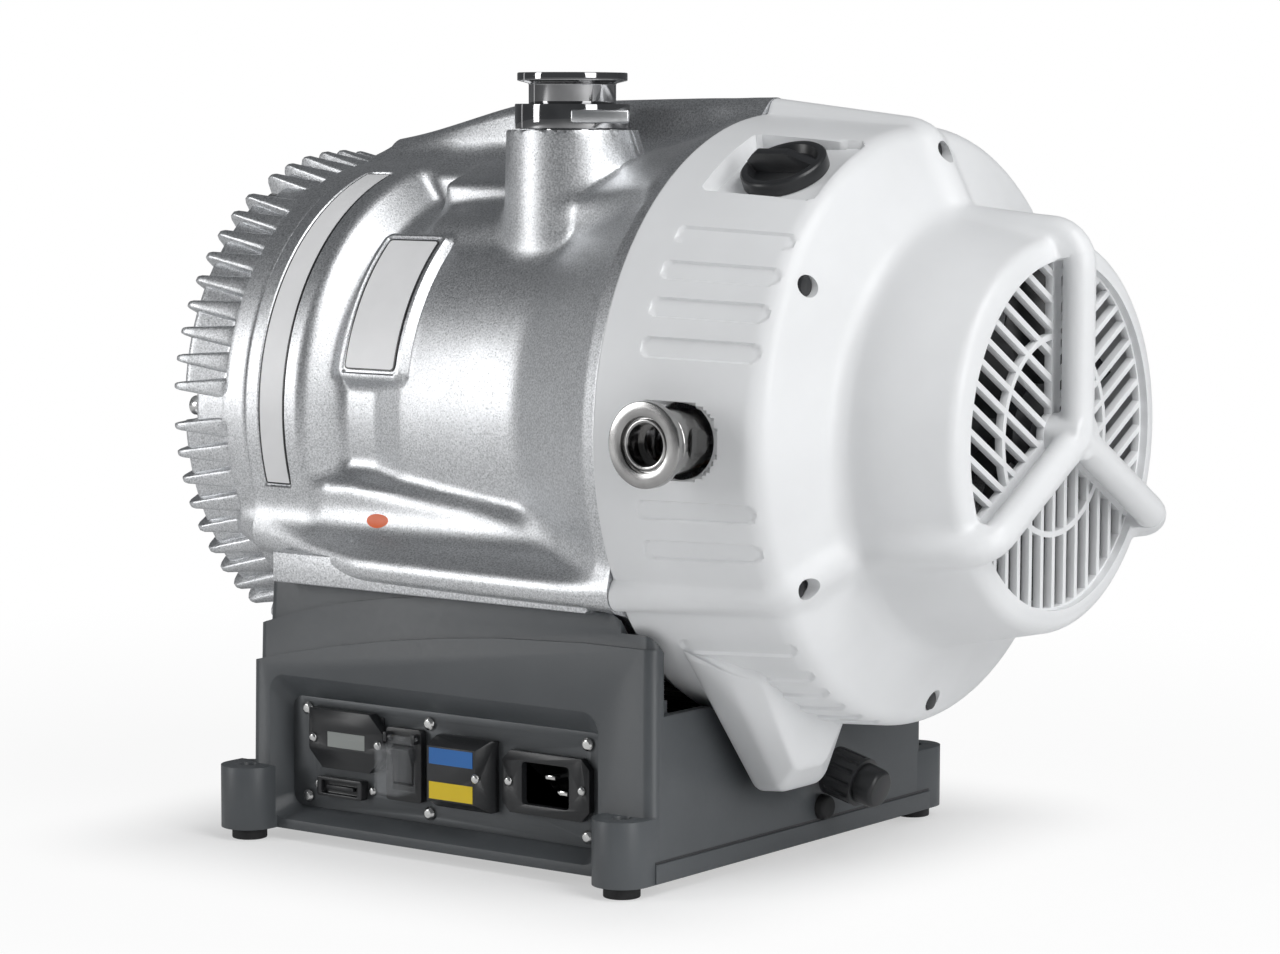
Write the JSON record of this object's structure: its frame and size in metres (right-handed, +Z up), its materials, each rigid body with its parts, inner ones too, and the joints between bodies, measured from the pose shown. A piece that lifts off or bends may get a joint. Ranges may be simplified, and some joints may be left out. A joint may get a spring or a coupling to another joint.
{
  "type": "dry scroll vacuum pump",
  "caption": "Dry scroll vacuum pump: finned end cover, ribbed cast housing with inlet flange, fan cowl with barred grille, exhaust flange, and a base with a control panel.",
  "frame": {"origin": "on the floor, in the middle of the four feet and under the shaft", "axes": "+X along the shaft towards the fan grille, -Y towards the control panel, +Z up along the inlet"},
  "size_m": [0.469, 0.323, 0.391],
  "materials": {
    "cast_aluminium": "fine blasted casting",
    "machined_aluminium": "machined and hard anodised",
    "clear_anodised": "turned, clear anodised",
    "nickel_steel": "turned, nickel plated",
    "zinc_steel": "bright zinc",
    "ground_steel": "ground",
    "bearing_steel": "polished",
    "bellows_steel": "thin bright sheet",
    "panel_steel": "satin sheet",
    "copper_pipe": "drawn pipe",
    "windings": "steel core with varnished copper winding heads",
    "cowl_plastic": "fine grained off-white moulding",
    "black_plastic": "fine grained black moulding",
    "base_paint": "dark grey textured paint on cast aluminium",
    "dark_rubber": "matt rubber",
    "seal": "filled fluoropolymer",
    "window": "dark window",
    "clear_cover": "clear moulding"
  },
  "bodies": {
    "pump": {"fixed_scroll": "cast_aluminium", "fixed_tip_seal": "seal", "cover_seal": "dark_rubber", "cover_bolts": "zinc_steel", "bellows": "bellows_steel", "front_bearing": "bearing_steel", "rear_bearing": "bearing_steel", "end_bearing": "bearing_steel", "pump_housing": "cast_aluminium", "inlet_nozzle": "nickel_steel", "inlet_collar": "clear_anodised", "inlet_strainer": "bellows_steel", "exhaust_pipe": "copper_pipe", "exhaust_nozzle": "nickel_steel", "exhaust_valve_spring": "bellows_steel", "motor_frame": "cast_aluminium", "motor_stator": "windings", "motor_end_shield": "cast_aluminium", "fan_cowl": "cowl_plastic", "grille_insert": "cowl_plastic", "cowl_posts": "zinc_steel", "cowl_screws": "zinc_steel", "gas_ballast_valve": "clear_anodised", "base_casting": "base_paint", "base_bottom_plate": "zinc_steel", "rubber_feet": "dark_rubber", "drive_module": "black_plastic", "control_panel_plate": "panel_steel", "panel_screws": "zinc_steel", "device_screws": "zinc_steel", "hour_meter": "black_plastic", "hour_meter_window": "window", "logic_connector": "black_plastic", "switch_housing": "black_plastic", "switch_pivot": "ground_steel", "voltage_selector": "black_plastic", "power_inlet": "black_plastic", "power_pins": "nickel_steel", "connector_socket": "black_plastic", "connector_collar": "black_plastic", "connector_cap": "black_plastic", "wall_grommet": "dark_rubber"},
    "shaft": {"drive_shaft": "ground_steel", "counterweight": "ground_steel", "motor_rotor": "ground_steel", "cooling_fan": "black_plastic"},
    "orbiter": {"orbiting_scroll": "machined_aluminium", "orbiting_tip_seal": "seal", "orbit_bearing": "bearing_steel"},
    "ballast_knob": {"gas_ballast_knob": "black_plastic"},
    "rocker": {"switch_rocker": "black_plastic"},
    "guard": {"switch_guard": "clear_cover"},
    "exhaust_valve": {"exhaust_valve_disc": "dark_rubber"}
  },
  "joints": [
    {"name": "shaft_spin", "type": "hinge", "parent": "pump", "child": "shaft", "pos_m": [0, 0, 0.22], "axis": [1, 0, 0], "continuous": true},
    {"name": "scroll_orbit", "type": "hinge", "parent": "shaft", "child": "orbiter", "pos_m": [0, 0, 0.2241], "axis": [1, 0, 0], "continuous": true, "deforming": ["bellows"]},
    {"name": "gas_ballast_turn", "type": "hinge", "parent": "pump", "child": "ballast_knob", "pos_m": [0.1706, -0.06894, 0.34185], "axis": [0, -0.4924, 0.8704], "range_deg": [0, 120]},
    {"name": "switch_rock", "type": "hinge", "parent": "pump", "child": "rocker", "pos_m": [-0.027, -0.114, 0.0455], "axis": [1, 0, 0], "range_deg": [-14, 0]},
    {"name": "guard_lift", "type": "hinge", "parent": "pump", "child": "guard", "pos_m": [-0.027, -0.118, 0.0595], "axis": [1, 0, 0], "range_deg": [-95, 0]},
    {"name": "exhaust_lift", "type": "slide", "parent": "pump", "child": "exhaust_valve", "axis": [0, -1, 0], "range_m": [0, 0.004], "stiffness_N_per_m": 300, "springref_m": -0.004, "deforming": ["exhaust_valve_spring"]}
  ],
  "couplings": [
    {"joint": "scroll_orbit", "follows": "shaft_spin", "ratio": -1}
  ]
}
